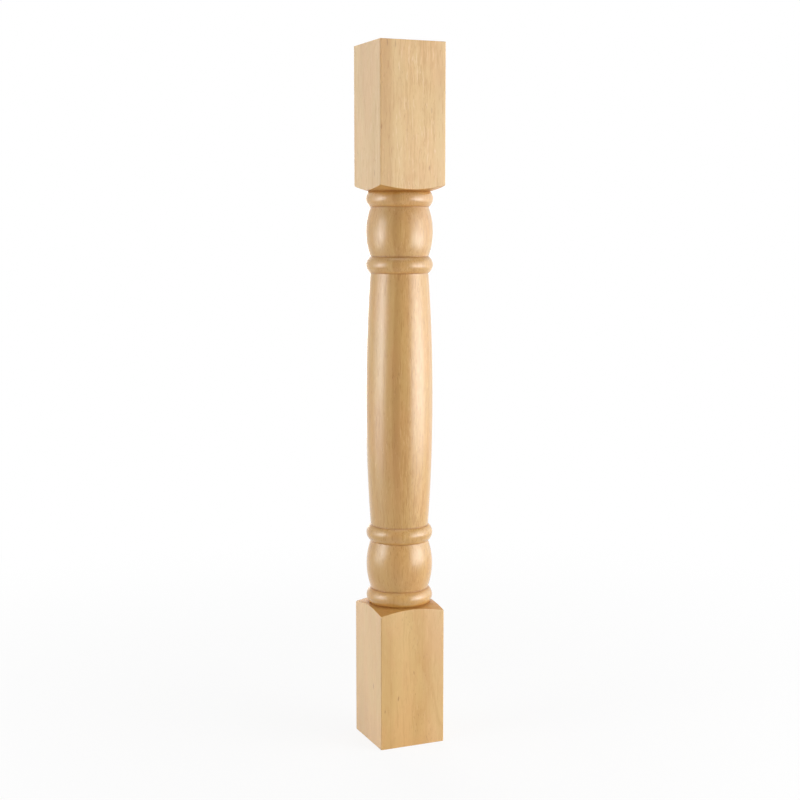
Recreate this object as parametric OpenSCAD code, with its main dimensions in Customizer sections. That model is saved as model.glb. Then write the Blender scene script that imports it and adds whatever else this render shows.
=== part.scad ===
// Turned newel post, made from one square stick. Both ends stay square, and
// the middle is turned: bead, urn, bead, long shaft, bead, urn, bead.
// The post stands on its foot, with the origin at the middle of the foot.

/* [Post] */
// Overall height
post_h = 901.7; // [800:0.1:1300]
// Width across the flats of the square ends
post_w = 88.9; // [70:0.1:125]
// Radius that eases the four long arrises
arris_r = 1.5; // [0.5:0.1:4]

/* [Square ends] */
// Length of a square end, up the middle of a face
block_len = 182.2; // [60:0.1:220]
// Slope of the turned shoulder, from the middle of a face out to the arris
shoulder_angle = 16.5; // [8:0.5:25]
// Radius that softens the tips where the shoulder runs out at the arrises
tip_r = 3; // [1:0.5:5]

/* [Turning] */
// Depth of the grooves beside the beads, cut in from the flats
groove_cut = 6.9; // [4:0.1:9]
// Height of a bead, from groove to groove
bead_h = 21.4; // [14:0.1:28]
// Depth of a bead's crown below the flats
bead_cut = 1.25; // [0.5:0.05:3]
// Length of an urn, from groove to groove
urn_len = 62.4; // [40:0.1:80]
// Depth of an urn's widest part below the flats
urn_cut = 1.35; // [0.5:0.05:3]
// Depth of the shaft's widest part below the flats, halfway up the post
shaft_cut = 1.2; // [0.5:0.05:3]

/* [Hidden] */

// facets round the post, and the longest facet along a big arc
turn_fn = 120;
arc_step = 4;
// facets round an eased arris and round a softened tip
arris_fn = 48;
// the turned outline runs this far past the arrises, which then trim it
trim = 2;
// pieces of the outline reach this far into each other
overlap = 0.5;
// steepness of a softened tip where the arris trims it
tip_end_angle = 65;

// distance from the axis to a flat, to an eased arris and to a groove
flat_reach = post_w / 2;
arris_reach = sqrt(2) * (flat_reach - arris_r) + arris_r;
groove_r = flat_reach - groove_cut;
outline_r = arris_reach + trim;
core_r = groove_r - overlap;

// the shaft takes what the square ends, the beads and the urns leave
end_len = block_len + 2 * bead_h + urn_len;
shaft_len = post_h - 2 * end_len;

// Height of the shoulder's cone at distance r from the axis.
function shoulder_z(r) = block_len + (flat_reach - r) * tan(shoulder_angle);

// Radius of the arc that spans len and rises by rise in its middle.
function arc_radius(len, rise) = (len * len / 4 + rise * rise) / (2 * rise);

// Half outline of a stretch that swells from groove to groove, level with its
// middle. Two neighbours cross at the bottom of the groove between them.
module swell(len, cut) {
    r = arc_radius(len, groove_cut - cut);
    clip_x = core_r - overlap;
    intersection() {
        translate([flat_reach - cut - r, 0])
            circle(r = r, $fn = max(turn_fn, ceil(2 * PI * r / arc_step)));
        translate([clip_x, -len]) square([outline_r - clip_x, 2 * len]);
    }
}

// Half outline of a square end: flat foot, softened tip and shoulder.
module end_outline() {
    // centre of the arc that softens the tip, and where it touches the cone
    tip_x = arris_reach - tip_r * sin(tip_end_angle);
    touch_x = tip_x + tip_r * sin(shoulder_angle);
    tip_z = shoulder_z(touch_x) - tip_r * cos(shoulder_angle);
    polygon([[0, 0], [touch_x, 0], [touch_x, shoulder_z(touch_x)], [0, shoulder_z(0)]]);
    translate([tip_x, tip_z]) circle(r = tip_r, $fn = arris_fn);
    square([tip_x + tip_r, tip_z]);
}

// Half outline of everything below the shaft.
module half_outline() {
    end_outline();
    translate([0, block_len + bead_h / 2]) swell(bead_h, bead_cut);
    translate([0, block_len + bead_h + urn_len / 2]) swell(urn_len, urn_cut);
    translate([0, end_len - bead_h / 2]) swell(bead_h, bead_cut);
}

// Half outline of the whole post: the upper part mirrors the lower one.
module turned_outline() {
    square([core_r, post_h]);
    half_outline();
    translate([0, post_h / 2]) swell(shaft_len, shaft_cut);
    translate([0, post_h]) mirror([0, 1]) half_outline();
}

// Cross-section of the stick: a square, cut across at its corners, with an arc
// over each cut.
module stick_section() {
    f = flat_reach;
    k = flat_reach - arris_r;
    polygon([[f, -k], [f, k], [k, f], [-k, f], [-f, k], [-f, -k], [-k, -f], [k, -f]]);
    for (x = [-k, k], y = [-k, k])
        translate([x, y]) circle(r = arris_r, $fn = arris_fn);
}

module post() {
    color("burlywood")
    intersection() {
        linear_extrude(height = post_h) stick_section();
        rotate_extrude($fn = turn_fn) turned_outline();
    }
}

post();
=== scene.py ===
from math import acos, asin, atan2, cos, hypot, pi, radians, sin, sqrt, tan

import bmesh
import bpy
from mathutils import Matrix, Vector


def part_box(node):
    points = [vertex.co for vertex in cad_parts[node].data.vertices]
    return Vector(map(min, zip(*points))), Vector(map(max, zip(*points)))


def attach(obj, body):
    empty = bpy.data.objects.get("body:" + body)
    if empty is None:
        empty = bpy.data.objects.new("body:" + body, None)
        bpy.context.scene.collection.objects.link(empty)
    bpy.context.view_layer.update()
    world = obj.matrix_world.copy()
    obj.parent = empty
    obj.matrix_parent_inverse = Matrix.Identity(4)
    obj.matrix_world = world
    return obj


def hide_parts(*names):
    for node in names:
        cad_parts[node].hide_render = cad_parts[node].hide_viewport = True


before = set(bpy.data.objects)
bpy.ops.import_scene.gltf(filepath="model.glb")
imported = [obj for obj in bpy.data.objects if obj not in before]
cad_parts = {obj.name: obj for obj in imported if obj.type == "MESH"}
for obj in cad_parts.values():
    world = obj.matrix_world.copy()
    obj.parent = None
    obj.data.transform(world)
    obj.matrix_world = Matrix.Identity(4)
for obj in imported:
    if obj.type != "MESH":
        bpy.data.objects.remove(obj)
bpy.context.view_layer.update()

bpy.context.scene.view_settings.view_transform = "Standard"

# the stick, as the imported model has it
foot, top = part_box("post")
width = top[0] - foot[0]
height = top[2] - foot[2]
flatReach = width / 2  # from the axis to a flat
halfHeight = height / 2

# sizes of the turned outline, in metres and degrees
turning = {
    "endLength": 0.1822,  # square end, up the middle of a flat
    "arrisRadius": 0.0015,
    "shoulderSlope": 16.5,
    "tipRadius": 0.003,  # where the shoulder runs out at an arris
    "tipEndAngle": 65,
    "grooveCut": 0.0069,  # the cuts are measured in from the flats
    "beadHeight": 0.0214,
    "beadCut": 0.00125,
    "urnLength": 0.0624,
    "urnCut": 0.00135,
    "shaftCut": 0.0012,
    "grooveSoft": 0.0003,  # what sanding leaves in a groove,
    "shoulderSoft": 0.0004,  # on the edge of a shoulder
    "endSoft": 0.0005,  # and round a sawn end
    "waste": 0.004,  # the blank is this much longer than the stick at each end
    "roundSteps": 192,
    "grooveSteps": 2,
    "arrisSteps": 4,
    "endSteps": 2,
    "shoulderSteps": 3,
    "arcStep": 0.0022,  # edges along an arc of the outline are about this long,
    "arcLeast": 5,  # and there are at least this many
    "mirrorWeld": 0.0001,  # vertices closer than this become one as the outline is mirrored,
    "spinWeld": 0.00001,  # after it is spun,
    "cutWeld": 0.00002,  # and after the stick is cut
    "slack": 0.00005,  # a groove's bottom is found within this
    "plumb": 0.001,  # a side of the stick faces up or down by less than this
    "smoothAngle": 40,
}


def pickOnly(piece):
    bpy.ops.object.select_all(action="DESELECT")
    piece.select_set(True)
    bpy.context.view_layer.objects.active = piece


def applyModifier(piece, kind, **settings):
    pickOnly(piece)
    modifier = piece.modifiers.new(kind.lower(), kind)
    for name, value in settings.items():
        setattr(modifier, name, value)
    bpy.ops.object.modifier_apply(modifier=modifier.name)


def pickEdges(piece, wanted):
    # in edit mode, selects the edges for which wanted(edge) holds
    bpy.ops.mesh.select_mode(type="EDGE")
    bpy.ops.mesh.select_all(action="DESELECT")
    mesh = bmesh.from_edit_mesh(piece.data)
    for edge in mesh.edges:
        if wanted(edge):
            edge.select_set(True)
    bmesh.update_edit_mesh(piece.data)


def shoulderHeight(r):
    return turning["endLength"] + (flatReach - r) * tan(radians(turning["shoulderSlope"]))


def lineTo(pen, r, z):
    bpy.ops.mesh.extrude_region_move(TRANSFORM_OT_translate={"value": (r - pen[0], 0, z - pen[1])})
    pen[:] = r, z


def arcRound(pen, r, z, angle):
    # the centre is at r, z, and the pen moves upwards
    reach = hypot(pen[0] - r, pen[1] - z)
    angle0 = atan2(pen[1] - z, pen[0] - r)
    steps = max(turning["arcLeast"], round(reach * angle / turning["arcStep"]))
    bpy.ops.mesh.spin(steps=steps, angle=angle, center=(r, 0, z), axis=(0, 1, 0))
    pen[:] = r + reach * cos(angle0 + angle), z + reach * sin(angle0 + angle)


def swell(pen, length, cut, middle, end):
    # the arc of a bead, urn or shaft of this length round its middle, up to the height end
    rise = turning["grooveCut"] - cut
    reach = (length * length / 4 + rise * rise) / (2 * rise)
    centre = flatReach - cut - reach
    arcRound(pen, centre, middle, asin((end - middle) / reach) - atan2(pen[1] - middle, pen[0] - centre))


def drawHalfOutline():
    # one vertex, drawn from under the foot up to the middle of the shaft, in the plane y = 0
    slope = radians(turning["shoulderSlope"])
    tipRadius = turning["tipRadius"]
    arrisReach = sqrt(2) * (flatReach - turning["arrisRadius"]) + turning["arrisRadius"]
    tipR = arrisReach - tipRadius * sin(radians(turning["tipEndAngle"]))
    touchR = tipR + tipRadius * sin(slope)
    tipZ = shoulderHeight(touchR) - tipRadius * cos(slope)
    bead, beadCut = turning["beadHeight"], turning["beadCut"]

    pen = [0, -turning["waste"]]
    bpy.ops.object.select_all(action="DESELECT")
    bpy.ops.mesh.primitive_plane_add(size=0.01, location=(0, 0, halfHeight))
    piece = bpy.context.object
    bpy.ops.object.mode_set(mode="EDIT")
    bpy.ops.mesh.merge(type="CENTER")
    bpy.ops.transform.translate(value=(0, 0, pen[1] - halfHeight))

    # the outside of the blank, the tip, and the shoulder down to the first bead
    lineTo(pen, tipR + tipRadius, -turning["waste"])
    lineTo(pen, tipR + tipRadius, tipZ)
    arcRound(pen, tipR, tipZ, pi / 2 - slope)
    rise = turning["grooveCut"] - beadCut
    beadRadius = (bead * bead / 4 + rise * rise) / (2 * rise)
    beadR, beadZ = flatReach - beadCut - beadRadius, turning["endLength"] + bead / 2
    drop = (beadZ - shoulderHeight(beadR)) * cos(slope)  # from the bead's centre square to the shoulder
    meet = acos(drop / beadRadius) - pi / 2 - slope
    lineTo(pen, beadR + beadRadius * cos(meet), beadZ + beadRadius * sin(meet))

    # bead, urn, bead and half the shaft, from groove to groove
    groove = turning["endLength"]
    for length, cut in ((bead, beadCut), (turning["urnLength"], turning["urnCut"]), (bead, beadCut)):
        swell(pen, length, cut, groove + length / 2, groove + length)
        groove += length
    swell(pen, height - 2 * groove, turning["shaftCut"], halfHeight, halfHeight)
    bpy.ops.object.mode_set(mode="OBJECT")
    return piece


def turnBlank():
    # the outline mirrored about the middle of the shaft, then spun round the axis
    piece = drawHalfOutline()
    applyModifier(piece, "MIRROR", use_axis=(False, False, True), use_clip=True,
                  merge_threshold=turning["mirrorWeld"])
    bpy.ops.object.mode_set(mode="EDIT")
    bpy.ops.mesh.select_all(action="SELECT")
    bpy.ops.mesh.spin(steps=turning["roundSteps"], angle=2 * pi, center=(0, 0, 0), axis=(0, 0, 1))
    bpy.ops.mesh.select_all(action="SELECT")
    bpy.ops.mesh.remove_doubles(threshold=turning["spinWeld"])
    bpy.ops.mesh.normals_make_consistent(inside=False)
    grooveTop = flatReach - turning["grooveCut"] + turning["slack"]

    def inGroove(edge):
        # the axis has vertices too, at the blank's ends
        return all(flatReach / 2 < hypot(v.co.x, v.co.y) < grooveTop for v in edge.verts)

    pickEdges(piece, inGroove)
    bpy.ops.mesh.bevel(offset=turning["grooveSoft"], segments=turning["grooveSteps"], affect="EDGES")
    bpy.ops.object.mode_set(mode="OBJECT")
    bpy.ops.object.transform_apply(location=True, rotation=True, scale=True)
    return piece


def isUpright(edge):
    return abs(edge.verts[0].co.z - edge.verts[1].co.z) > halfHeight


def sawStick():
    # the square stick, arrises eased along its length and round its sawn ends
    bpy.ops.object.select_all(action="DESELECT")
    bpy.ops.mesh.primitive_cube_add(size=1, location=(0, 0, halfHeight), scale=(width, width, height))
    piece = bpy.context.object
    bpy.ops.object.transform_apply(location=True, rotation=True, scale=True)
    bpy.ops.object.mode_set(mode="EDIT")
    pickEdges(piece, isUpright)
    bpy.ops.mesh.bevel(offset=turning["arrisRadius"], segments=turning["arrisSteps"], affect="EDGES")
    pickEdges(piece, lambda edge: not isUpright(edge))
    bpy.ops.mesh.bevel(offset=turning["endSoft"], segments=turning["endSteps"], affect="EDGES")
    bpy.ops.object.mode_set(mode="OBJECT")
    return piece


def turnPost():
    # the stick is cut down to the blank, then the edges that the cut leaves are eased
    blank = turnBlank()
    piece = sawStick()
    applyModifier(piece, "BOOLEAN", object=blank, operation="INTERSECT", solver="EXACT")
    bpy.data.objects.remove(blank)
    bpy.ops.object.mode_set(mode="EDIT")
    bpy.ops.mesh.select_all(action="SELECT")
    bpy.ops.mesh.remove_doubles(threshold=turning["cutWeld"])

    def isSide(face):
        # on a flat or an arris of the square ends
        inEnd = abs(face.calc_center_median().z - halfHeight) > halfHeight - turning["endLength"]
        return inEnd and abs(face.normal.z) < turning["plumb"]

    def onShoulder(edge):
        # between a side and the turned shoulder, and not at a sawn end
        fromEnd = halfHeight - abs(edge.verts[0].co.z - halfHeight)
        return fromEnd > turning["endLength"] / 2 and len({isSide(face) for face in edge.link_faces}) == 2

    pickEdges(piece, onShoulder)
    bpy.ops.mesh.bevel(offset=turning["shoulderSoft"], segments=turning["shoulderSteps"], affect="EDGES",
                       clamp_overlap=False)
    bpy.ops.mesh.select_all(action="SELECT")
    bpy.ops.mesh.normals_make_consistent(inside=False)
    bpy.ops.object.mode_set(mode="OBJECT")
    bpy.ops.object.shade_smooth_by_angle(angle=radians(turning["smoothAngle"]))
    applyModifier(piece, "WEIGHTED_NORMAL", mode="FACE_AREA", weight=80, keep_sharp=True)
    piece.name = piece.data.name = "turnedPost"
    return piece


post = turnPost()
print("post turned:", len(post.data.vertices), "vertices")


# the stick's wood under a clear satin lacquer; colours are linear, lengths are metres
wood = {
    "pale": (0.682, 0.456, 0.208),
    "honey": (0.622, 0.396, 0.166),
    "rosy": (1.02, 0.98, 0.95),
    "straw": (0.99, 1.02, 0.95),
    "warmShade": (0.88, 0.77, 0.54),  # between the fibres
    "paleShade": (1.07, 1.07, 1.06),  # on them
    "ringLine": (0.500, 0.258, 0.052),
    "fleck": (0.340, 0.135, 0.020),
    "glint": (0.820, 0.600, 0.350),
    "stripTint": (1.04, 1.05, 1.15),  # a paler strip down the left side
    "farTint": (1.06, 1.11, 1.38),  # the lower end's front, towards its far corner
    "layerAndShadeTint": (0.84, 0.75, 0.58),  # a richer layer that crosses the near corner, and painted shade where it crosses the turned part's shaded front
    "layerAndShadeTopTint": (0.84, 0.71, 0.52),  # and the same towards the top
    "footTint": (1.00, 0.93, 0.74),  # the stick is richer towards its foot
    "amber": (0.84, 0.74, 0.52),  # what the finish does where turning opened the grain
    "endTint": (0.95, 0.89, 0.82),
    "grooveFinishAndShadeTint": (0.74, 0.63, 0.46),  # finish pooled in the grooves, and painted shade in them and under the shoulders

    # growth rings
    "pith": (0.020, 0.150),  # x and y of the tree's middle, outside the stick
    "lean": (0.9, 0.5),  # degrees that the tree's axis leans from the post's
    "ringWidth": 0.0042,
    "ringTones": ((0.0, 0.6), (0.07, 0.1), (0.4, 0.0), (0.85, 0.3), (0.96, 0.85), (1.0, 1.0)),
    "ringPushes": (  # noises that push the rings about: scale, detail and reach
        ((8, 8, 2.6), 1.5, 0.016),
        ((30, 30, 4), 1.0, 0.006),
        ((80, 80, 14), 2.0, 0.001),
    ),
    "ringShare": (0.02, 0.42),  # how clearly they show on the flats, from least to most,
    "ringTurned": 0.30,  # on turned surfaces, as a share of that,
    "ringEnd": 0.45,  # and on end grain

    # grain, pores and marks
    "waveScale": 42,  # the grain runs wavy by noise of this scale,
    "waveReach": 0.0042,  # and by about this much
    "toneMix": {"streaks": 0.35, "mottle": 0.25, "fibres": 0.40},  # light and dark in the grain
    "toneShare": (0.42, 1.0),  # of that mix, outside and inside the flecked part
    "marks": {  # how much likelier in the flecked part, and how strong
        "dashes": (0.045, 0.62),
        "lines": (0.035, 0.58),
        "glints": (0.030, 0.42),
    },
    "veinSway": ((0, 0, 22), 1.5, 0.016),  # scale, detail and reach
    "veinShare": (0.15, 0.75),
    "poreScale": (560, 560, 95),
    "poreReach": (0.08, 0.25),  # of a cell, where a pore starts to fade and is gone
    "poreShare": (0.024, 0.60),
    "poreRaised": 0.07,  # how much likelier in the flecked part
    "poreDepth": 0.5,  # against the fibres' height
    "speckShare": 0.62,
    "speckReach": (0.4, 1.6),  # of a speck's size, where it starts to fade and is gone
    "specks": (  # x, y, z, half the width and half the length
        (-0.0444, -0.0250, 0.740, 0.0010, 0.0040),
        (-0.0424, -0.0444, 0.796, 0.0010, 0.0030),
        (-0.0345, -0.0444, 0.897, 0.0008, 0.0040),
        (-0.0246, -0.0444, 0.895, 0.0007, 0.0050),
        (0.0220, -0.0444, 0.746, 0.0008, 0.0030),
        (0.0250, -0.0444, 0.817, 0.0007, 0.0040),
        (-0.0444, -0.0184, 0.078, 0.0012, 0.0035),
        (-0.0390, -0.0444, 0.050, 0.0009, 0.0022),
        (-0.0200, -0.0444, 0.066, 0.0008, 0.0030),
        (0.0020, -0.0444, 0.098, 0.0007, 0.0026),
    ),
    "layerSlant": -2.6,  # of the richer layer, sideways per metre into the stick
    "layerSway": ((40, 40, 6), 2.0, 0.006),  # scale, detail and reach

    # the finish
    "neckRise": 0.0021,  # from a square end up to the groove where shoulder and bead meet
    "neckReach": (0.0002, 0.0026),  # how far the pooled finish and painted shade spread from there,
    "grooveReach": (0.0002, 0.0016),  # and from the other grooves
    "pooledFinishAndShadeShare": (0.7, 1.0),
    "wornShare": (0.10, 0.50),
    "roughness": (0.36, 0.48),
    "endRoughness": 0.22,  # that sawn end grain adds
    "coat": (0.95, 0.08),  # on long grain and on end grain
    "coatRoughness": 0.24,
    "glossIndex": 1.5,  # of the wood and of its coat
    "bump": (0.12, 0.0002),  # strength and height

    # zones: where along a measure a share starts and stops changing, and its value at each
    "zones": {
        "front": (-0.036, -0.026, 1.0, 0.0),  # y
        "fleckedUp": (0.12, 0.30, 0.25, 1.0),  # z
        "marksUp": (0.14, 0.30, 0.45, 1.0),  # z, as the lower end is plainer
        "turned": (flatReach - 0.0008, flatReach - 0.0002, 1.0, 0.0),  # the greater of x and y, unsigned
        "arris": (flatReach - 0.0018, flatReach - 0.0006, 0.0, 1.0),  # and the smaller
        "sawn": (halfHeight - 0.004, halfHeight - 0.001, 1.0, 0.0),  # height from the middle of the post
        "endGrain": (0.45, 1.0, 0.0, 1.0),  # how much a face looks up or down
        "layerSide": (-0.022, -0.006, 1.0, 0.0),  # x
        "layerUp": (0.15, 0.45, 0.25, 1.0),  # z
        "layerEnd": (0.0, 0.5, 1.0, 0.25),  # share of end grain
        "layerTop": (0.76, 0.89, 0.0, 1.0),  # z
        "leftSide": (-0.0442, -0.0430, 0.6, 0.0),  # x
        "farCorner": (0.008, 0.032, 0.0, 1.0),  # x
        "lowerEnd": (0.16, 0.30, 1.0, 0.0),  # z
        "veinUp": (0.66, 0.74, 0.0, 1.0),  # z
        "foot": (0.36, 0.0, 0.0, 1.0),  # z
    },
    # bands across a measure: the middle, and how far off it a band starts to fade and is gone
    "bands": {
        "flecked": (0.008, 0.014, 0.030),  # x
        "layer": (-0.039, 0.0060, 0.0155),  # x on the front, and slanted behind it
        "strip": (-0.036, 0.004, 0.010),  # y
        "vein": (0.0150, 0.0002, 0.0010),  # x
    },
    # noises: scale in x, y and z, detail, roughness, and the levels that give 0 and 1
    "noises": {
        "drift": ((22, 22, 5), 2.0, 0.5, 0.30, 0.70),
        "hue": ((34, 34, 12), 2.0, 0.5, 0.35, 0.65),
        "rings": ((30, 30, 8), 2.0, 0.5, 0.38, 0.72),
        "streaks": ((300, 300, 9), 3.0, 0.6, 0.25, 0.75),
        "mottle": ((260, 260, 90), 2.0, 0.6, 0.30, 0.70),
        "fibres": ((1300, 1300, 46), 3.0, 0.7, 0.25, 0.75),
        "dashes": ((560, 560, 50), 2.0, 0.55, 0.60, 0.71),
        "lines": ((430, 430, 13), 2.0, 0.5, 0.595, 0.68),
        "glints": ((620, 620, 44), 2.0, 0.5, 0.61, 0.71),
        "vein": ((90, 90, 120), 2.0, 0.5, 0.42, 0.60),
        "pores": ((55, 55, 22), 3.0, 0.5, 0.50, 0.68),
        "pooledFinishAndShade": ((120, 120, 120), 2.0, 0.5, 0.30, 0.70),
        "worn": ((90, 90, 30), 2.0, 0.5, 0.35, 0.65),
        "sheen": ((900, 900, 60), 2.0, 0.5, 0.30, 0.70),
    },
}


def addNode(tree, kind, inputs, **settings):
    # inputs are given by their number or name, as a value or as the socket that feeds them
    made = tree.nodes.new(kind)
    for name, value in settings.items():
        setattr(made, name, value)
    for place, value in inputs.items():
        if isinstance(value, bpy.types.NodeSocket):
            tree.links.new(value, made.inputs[place])
        else:
            made.inputs[place].default_value = value
    return made


def stretched(tree, vector, scale):
    return addNode(tree, "ShaderNodeMapping", {"Vector": vector, "Scale": scale}).outputs[0]


def noise(tree, vector, scale, detail=2.0, roughness=0.5, output="Fac"):
    made = addNode(tree, "ShaderNodeTexNoise", {
        "Vector": stretched(tree, vector, scale), "Scale": 1.0, "Detail": detail, "Roughness": roughness})
    return made.outputs[output]


def calc(tree, operation, *values):
    return addNode(tree, "ShaderNodeMath", dict(enumerate(values)), operation=operation).outputs[0]


def chain(tree, operation, first, *others):
    for other in others:
        first = calc(tree, operation, first, other)
    return first


def times(tree, *values):
    return chain(tree, "MULTIPLY", *values)


def onVectors(tree, operation, *values):
    return addNode(tree, "ShaderNodeVectorMath", dict(enumerate(values)), operation=operation)


def remap(tree, value, low, high, newLow=0.0, newHigh=1.0):
    return addNode(tree, "ShaderNodeMapRange", {
        0: value, 1: low, 2: high, 3: newLow, 4: newHigh}, interpolation_type="SMOOTHSTEP").outputs[0]


def nearTo(tree, value, centre, inner, outer):
    # 1 within inner of the centre, fading to 0 at outer
    off = calc(tree, "ABSOLUTE", calc(tree, "SUBTRACT", value, centre))
    return remap(tree, off, inner, outer, 1.0, 0.0)


def zone(tree, value, name):
    return remap(tree, value, *wood["zones"][name])


def band(tree, value, name):
    return nearTo(tree, value, *wood["bands"][name])


def level(tree, vector, name, newLow=0.0, newHigh=1.0, raisedBy=None):
    # one of the noises, stretched between two shares; raised, more of it shows
    scale, detail, roughness, low, high = wood["noises"][name]
    value = noise(tree, vector, scale, detail, roughness)
    if raisedBy is not None:
        value = calc(tree, "ADD", value, raisedBy)
    return remap(tree, value, low, high, newLow, newHigh)


def swayed(tree, value, spot, scale, detail, reach):
    # the value moved to either side by a noise, which runs round 0.5
    sway = calc(tree, "SUBTRACT", noise(tree, spot, scale, detail), 0.5)
    return calc(tree, "ADD", value, times(tree, sway, reach))


def blend(tree, factor, colourA, colourB, mode="MIX"):
    made = addNode(tree, "ShaderNodeMix", {"Factor": factor}, data_type="RGBA", blend_type=mode)
    for socket, value in zip([s for s in made.inputs if s.type == "RGBA"], (colourA, colourB)):
        if isinstance(value, bpy.types.NodeSocket):
            tree.links.new(value, socket)
        else:
            socket.default_value = (*value, 1.0)
    return [s for s in made.outputs if s.type == "RGBA"][0]


def tinted(tree, colour, share, tint):
    return blend(tree, share, colour, tint, "MULTIPLY")


def wavyPlace(tree, spot):
    # the place moved a little by a noise, which runs round 0.5, so that straight grain runs wavy
    shove = noise(tree, spot, (wood["waveScale"],) * 3, output="Color")
    shift = onVectors(tree, "SUBTRACT", shove, (0.5, 0.5, 0.5)).outputs[0]
    small = addNode(tree, "ShaderNodeVectorMath", {0: shift, "Scale": wood["waveReach"]}, operation="SCALE")
    return onVectors(tree, "ADD", spot, small.outputs[0]).outputs[0]


def ringPattern(tree, spot):
    # distance from the tree's middle, pushed about, and darker towards the end of each ring
    fromPith = addNode(tree, "ShaderNodeMapping", {
        "Vector": spot, "Location": (-wood["pith"][0], -wood["pith"][1], 0),
        "Rotation": (radians(wood["lean"][0]), radians(wood["lean"][1]), 0)}).outputs[0]
    across = onVectors(tree, "MULTIPLY", fromPith, (1, 1, 0)).outputs[0]
    radius = onVectors(tree, "LENGTH", across).outputs["Value"]
    for scale, detail, reach in wood["ringPushes"]:
        radius = calc(tree, "ADD", radius, times(tree, noise(tree, spot, scale, detail), reach))
    inRing = calc(tree, "FRACT", calc(tree, "DIVIDE", radius, wood["ringWidth"]))
    lateWood = addNode(tree, "ShaderNodeValToRGB", {0: inRing})
    stops = lateWood.color_ramp.elements  # a new ramp has one at each end
    for at, tone in wood["ringTones"]:
        stop = stops[0] if at == 0 else stops[-1] if at == 1 else stops.new(at)
        stop.color = (tone, tone, tone, 1)
    return lateWood.outputs[0]


# painted shade and pooled finish: a band at each neck under a shoulder and at each groove
def grooveFinishAndShadeMask(tree, fromMiddle):
    # the two ends are alike, so one set of heights does for both
    bottom = turning["endLength"] + wood["neckRise"]
    mask = nearTo(tree, fromMiddle, halfHeight - bottom, *wood["neckReach"])
    bottom = turning["endLength"] + turning["beadHeight"]
    for length in (0, turning["urnLength"], turning["beadHeight"]):
        bottom += length
        groove = nearTo(tree, fromMiddle, halfHeight - bottom, *wood["grooveReach"])
        mask = calc(tree, "MAXIMUM", mask, groove)
    return mask


def woodParts(tree, place):
    # the place's coordinates, and shares that say which part of the stick it is on
    here = addNode(tree, "ShaderNodeSeparateXYZ", {0: place.outputs["Object"]}).outputs
    facing = addNode(tree, "ShaderNodeSeparateXYZ", {0: place.outputs["Normal"]}).outputs["Z"]
    x, y, z = here["X"], here["Y"], here["Z"]
    sideX, sideY = calc(tree, "ABSOLUTE", x), calc(tree, "ABSOLUTE", y)
    fromMiddle = calc(tree, "ABSOLUTE", calc(tree, "SUBTRACT", z, halfHeight))
    onFront = zone(tree, y, "front")
    notFlat = zone(tree, calc(tree, "MAXIMUM", sideX, sideY), "turned")
    return {
        "x": x, "y": y, "z": z,
        "fromMiddle": fromMiddle,
        "front": onFront,
        "flecked": times(tree, band(tree, x, "flecked"), onFront, zone(tree, z, "fleckedUp")),
        "turned": times(tree, notFlat, zone(tree, fromMiddle, "sawn")),
        "endGrain": zone(tree, calc(tree, "ABSOLUTE", facing), "endGrain"),
        "arris": zone(tree, calc(tree, "MINIMUM", sideX, sideY), "arris"),
    }


def heartwood(tree, spot, part):
    # slow drifts of colour, the paler parts, and growth rings
    colour = blend(tree, level(tree, spot, "drift"), wood["pale"], wood["honey"])
    hue = blend(tree, level(tree, spot, "hue"), wood["rosy"], wood["straw"])
    colour = tinted(tree, colour, 1.0, hue)
    strip = times(tree, band(tree, part["y"], "strip"), zone(tree, part["x"], "leftSide"))
    colour = tinted(tree, colour, strip, wood["stripTint"])
    farPart = times(tree, zone(tree, part["x"], "farCorner"), zone(tree, part["z"], "lowerEnd"),
                    part["front"])
    colour = tinted(tree, colour, farPart, wood["farTint"])
    ringShare = level(tree, spot, "rings", *wood["ringShare"])
    ringShare = times(tree, ringShare, remap(tree, part["turned"], 0.0, 1.0, 1.0, wood["ringTurned"]))
    ringShare = calc(tree, "MAXIMUM", ringShare, times(tree, part["endGrain"], wood["ringEnd"]))
    return blend(tree, times(tree, ringPattern(tree, spot), ringShare), colour, wood["ringLine"])


def fibrous(tree, colour, wavy, part):
    # streaks, mottle and fine fibres; the fibres are given back for the bump
    made = {name: level(tree, wavy, name) for name in wood["toneMix"]}
    parts = [times(tree, made[name], share) for name, share in wood["toneMix"].items()]
    tone = chain(tree, "ADD", *parts)
    shade = blend(tree, tone, wood["warmShade"], wood["paleShade"])
    share = remap(tree, part["flecked"], 0.0, 1.0, *wood["toneShare"])
    return tinted(tree, colour, share, shade), made["fibres"]


def darkVein(tree, spot, part):
    # a broken dark line down the front of the upper end
    line = band(tree, swayed(tree, part["x"], spot, *wood["veinSway"]), "vein")
    return times(tree, line, level(tree, spot, "vein", *wood["veinShare"]), part["front"],
                 zone(tree, part["z"], "veinUp"))


def poresAndSpecks(tree, spot, wavy, part):
    # short pores in patches and the few big specks; the pores are given back for the bump
    cells = addNode(tree, "ShaderNodeTexVoronoi", {
        "Vector": stretched(tree, wavy, wood["poreScale"]), "Scale": 1.0}).outputs["Distance"]
    pore = remap(tree, cells, *wood["poreReach"], 1.0, 0.0)
    raised = times(tree, part["flecked"], wood["poreRaised"])
    marks = times(tree, pore, level(tree, spot, "pores", *wood["poreShare"], raisedBy=raised))
    for speckX, speckY, speckZ, halfWidth, halfLength in wood["specks"]:
        offset = onVectors(tree, "SUBTRACT", wavy, (speckX, speckY, speckZ)).outputs[0]
        scaled = stretched(tree, offset, (1 / halfWidth, 1 / halfWidth, 1 / halfLength))
        reach = onVectors(tree, "LENGTH", scaled).outputs["Value"]
        speck = remap(tree, reach, *wood["speckReach"], wood["speckShare"], 0.0)
        marks = calc(tree, "MAXIMUM", marks, speck)
    return marks, pore


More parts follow.
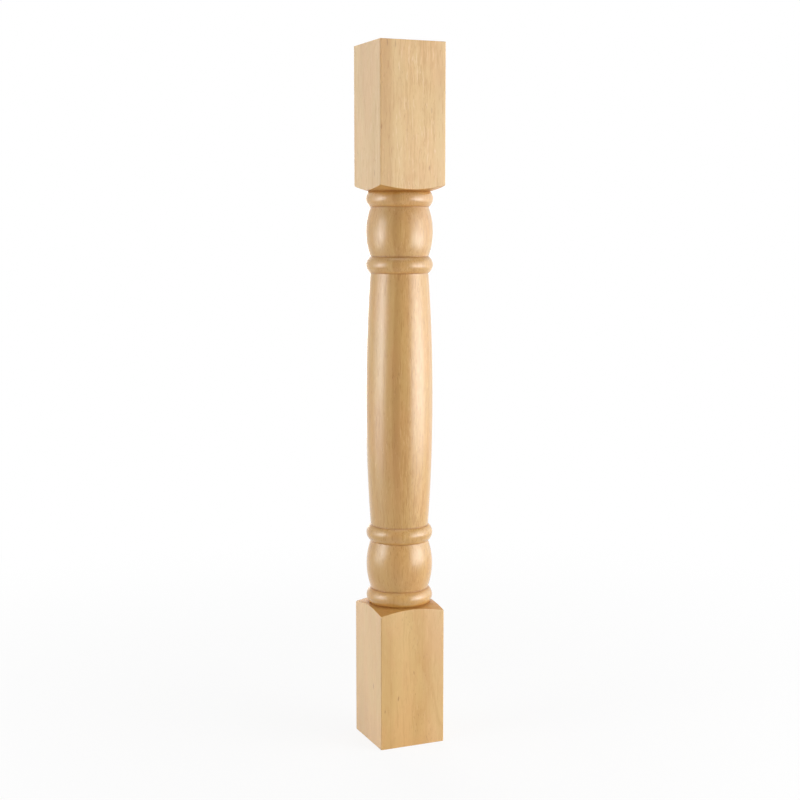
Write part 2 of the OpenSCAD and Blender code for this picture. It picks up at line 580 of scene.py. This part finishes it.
def marked(tree, colour, spot, wavy, part):
    # glints and dashes in the grain, the vein, pores and specks
    busy = zone(tree, part["z"], "marksUp")
    shares = {}
    for name, (likelier, strength) in wood["marks"].items():
        raised = times(tree, part["flecked"], likelier)
        shares[name] = times(tree, level(tree, wavy, name, raisedBy=raised), busy, strength)
    dark = chain(tree, "MAXIMUM", shares["dashes"], shares["lines"], darkVein(tree, spot, part))
    marks, pore = poresAndSpecks(tree, spot, wavy, part)
    colour = blend(tree, shares["glints"], colour, wood["glint"])
    colour = blend(tree, dark, colour, wood["ringLine"])
    return blend(tree, marks, colour, wood["fleck"]), pore


def richLayerAndShade(tree, colour, spot, part):
    # a golden layer that runs slanting into the stick from the front; across the turned part it is painted
    # shade, darkening the band facing the front between the side lamps
    slanted = calc(tree, "ADD", part["y"], flatReach)
    slanted = calc(tree, "ADD", part["x"], times(tree, slanted, wood["layerSlant"]))
    slanted = swayed(tree, slanted, spot, *wood["layerSway"])
    share = times(tree, band(tree, slanted, "layer"), zone(tree, part["x"], "layerSide"),
                  zone(tree, part["z"], "layerUp"), zone(tree, part["endGrain"], "layerEnd"))
    # the tint is partly the wood's richer layer and partly painted shade on the turned part
    tint = blend(tree, zone(tree, part["z"], "layerTop"), wood["layerAndShadeTint"], wood["layerAndShadeTopTint"])
    return tinted(tree, colour, share, tint)


def finishWearAndShade(tree, colour, spot, part):
    # what the finish and wear do, with painted shade: amber on turned surfaces, grooves and necks darkened
    # by pooled finish and painted shade, paler arrises
    colour = tinted(tree, colour, zone(tree, part["z"], "foot"), wood["footTint"])
    colour = tinted(tree, colour, part["turned"], wood["amber"])
    colour = tinted(tree, colour, part["endGrain"], wood["endTint"])
    # painted shade in the grooves and under the shoulders, as well as pooled finish
    pooledFinishAndShade = times(tree, grooveFinishAndShadeMask(tree, part["fromMiddle"]), part["turned"],
                     level(tree, spot, "pooledFinishAndShade", *wood["pooledFinishAndShadeShare"]))
    colour = tinted(tree, colour, pooledFinishAndShade, wood["grooveFinishAndShadeTint"])
    worn = times(tree, part["arris"], level(tree, spot, "worn", *wood["wornShare"]))
    return blend(tree, worn, colour, wood["pale"])


def woodFinish():
    finish = bpy.data.materials.new("clearFinishedHardwood")
    finish.use_nodes = True
    tree = finish.node_tree
    shader = tree.nodes["Principled BSDF"]
    place = tree.nodes.new("ShaderNodeTexCoord")
    spot = place.outputs["Object"]
    part = woodParts(tree, place)
    wavy = wavyPlace(tree, spot)
    colour, fibres = fibrous(tree, heartwood(tree, spot, part), wavy, part)
    colour, pore = marked(tree, colour, spot, wavy, part)
    # a richer layer in the wood, which is also painted shade on the turned part's shaded front
    colour = richLayerAndShade(tree, colour, spot, part)
    colour = finishWearAndShade(tree, colour, spot, part)

    rough = level(tree, spot, "sheen", *wood["roughness"])
    rough = calc(tree, "ADD", rough, times(tree, part["endGrain"], wood["endRoughness"]))
    coat = remap(tree, part["endGrain"], 0.0, 1.0, *wood["coat"])
    grainHeight = calc(tree, "SUBTRACT", fibres, times(tree, pore, wood["poreDepth"]))
    strength, distance = wood["bump"]
    bump = addNode(tree, "ShaderNodeBump", {
        "Strength": strength, "Distance": distance, "Height": grainHeight})
    tree.links.new(colour, shader.inputs["Base Color"])
    tree.links.new(rough, shader.inputs["Roughness"])
    tree.links.new(coat, shader.inputs["Coat Weight"])
    tree.links.new(bump.outputs[0], shader.inputs["Normal"])
    shader.inputs["Coat Roughness"].default_value = wood["coatRoughness"]
    shader.inputs["Coat IOR"].default_value = wood["glossIndex"]
    shader.inputs["IOR"].default_value = wood["glossIndex"]
    return finish


post.data.materials.clear()
post.data.materials.append(woodFinish())
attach(post, "root")
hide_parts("post")
print("wood finished")


# the studio; directions are degrees round the post from the front, distances are metres
studio = {
    "viewTurn": -23.2,
    "viewDistance": 1.84,
    "viewAside": 0.0009,
    "viewHeight": 0.674,
    "viewTilt": -6.94,
    "lens": 64.3,
    "skyLevel": 0.08,
    "floorSize": 12.0,
    "floorShare": (0.86, 1.0),  # of plain white in the floor that is seen, near the post and away
    "floorReach": (0.25, 1.3),
    "softboxes": {  # turn, distance, bottom, top, width, glow
        "leftWide": (-104, 1.6, 0.05, 1.7, 1.3, 0.8),
        "leftHeart": (-84, 1.5, 0.30, 1.15, 0.78, 3.4),
        "leftLow": (-98, 1.55, 0.02, 0.75, 1.0, 1.9),
        "rightWide": (55, 1.6, 0.03, 1.5, 2.5, 1.67),
        "rightHeart": (47, 1.5, 0.20, 1.05, 0.85, 2.0),
        "rightLow": (45, 1.55, 0.02, 0.60, 1.5, 3.1),
        "rightRim": (107, 1.6, 0.10, 1.5, 0.25, 1.3),
        "backWide": (163, 1.9, 0.10, 1.7, 1.2, 2.6),
    },
    "topBox": (2.3, 1.3, 2.5),  # height, size, glow
}


def showWhite(tree, shader, share):
    # what the camera, a reflection or clear stuff sees is mixed with plain white by this share
    path = tree.nodes.new("ShaderNodeLightPath")
    seen = chain(tree, "MAXIMUM", path.outputs["Is Camera Ray"], path.outputs["Is Glossy Ray"],
                 path.outputs["Is Transmission Ray"])
    kind = "ShaderNodeBackground" if shader.node.type == "BACKGROUND" else "ShaderNodeEmission"
    white = addNode(tree, kind, {"Color": (1, 1, 1, 1), "Strength": 1.0}).outputs[0]
    return addNode(tree, "ShaderNodeMixShader", {
        0: calc(tree, "MULTIPLY", seen, share), 1: shader, 2: white}).outputs[0]


def setSky():
    world = bpy.data.worlds.new("studioSky")
    bpy.context.scene.world = world
    world.use_nodes = True
    tree = world.node_tree
    sky = tree.nodes["Background"]
    sky.inputs["Color"].default_value = (1, 1, 1, 1)
    sky.inputs["Strength"].default_value = studio["skyLevel"]
    tree.links.new(showWhite(tree, sky.outputs[0], 1.0), tree.nodes["World Output"].inputs["Surface"])


def layFloor():
    bpy.ops.object.select_all(action="DESELECT")
    bpy.ops.mesh.primitive_plane_add(size=studio["floorSize"], location=(0, 0, 0))
    floor = bpy.context.object
    floor.name = "studioFloor"
    paint = bpy.data.materials.new("paleFloor")
    paint.use_nodes = True
    tree = paint.node_tree
    shader = tree.nodes["Principled BSDF"]
    shader.inputs["Base Color"].default_value = (0.9, 0.9, 0.9, 1)
    shader.inputs["Roughness"].default_value = 0.9
    shader.inputs["Specular IOR Level"].default_value = 0.0
    spot = tree.nodes.new("ShaderNodeTexCoord").outputs["Object"]
    away = onVectors(tree, "LENGTH", spot).outputs["Value"]
    share = remap(tree, away, *studio["floorReach"], *studio["floorShare"])
    white = showWhite(tree, shader.outputs[0], share)
    tree.links.new(white, tree.nodes["Material Output"].inputs["Surface"])
    floor.data.materials.append(paint)


def hangLamp(name, place, turned, boxWidth, boxHeight, glow):
    # glow is the brightness of the box's face, so a bigger box gives more light
    lamp = bpy.data.lights.new(name, "AREA")
    lamp.shape = "RECTANGLE"
    lamp.size, lamp.size_y = boxWidth, boxHeight
    lamp.energy = glow * pi * boxWidth * boxHeight
    holder = bpy.data.objects.new(name, lamp)
    bpy.context.scene.collection.objects.link(holder)
    holder.location, holder.rotation_euler = place, turned
    holder.visible_camera = False


def hangSoftboxes():
    for name, (turn, distance, bottom, topEdge, boxWidth, glow) in studio["softboxes"].items():
        angle = radians(turn)
        place = (distance * sin(angle), -distance * cos(angle), (bottom + topEdge) / 2)
        hangLamp(name, place, (pi / 2, 0, angle), boxWidth, topEdge - bottom, glow)
    lampHeight, size, glow = studio["topBox"]
    hangLamp("topBox", (0, 0, lampHeight), (0, 0, 0), size, size, glow)


def placeCamera():
    lens = bpy.data.cameras.new("view")
    lens.lens = studio["lens"]
    camera = bpy.data.objects.new("view", lens)
    bpy.context.scene.collection.objects.link(camera)
    turn, aside, back = radians(studio["viewTurn"]), studio["viewAside"], studio["viewDistance"]
    camera.location = (
        aside * cos(turn) + back * sin(turn), aside * sin(turn) - back * cos(turn), studio["viewHeight"])
    camera.rotation_euler = (radians(90 + studio["viewTilt"]), 0, turn)
    bpy.context.scene.camera = camera


setSky()
layFloor()
hangSoftboxes()
placeCamera()
print("studio set")
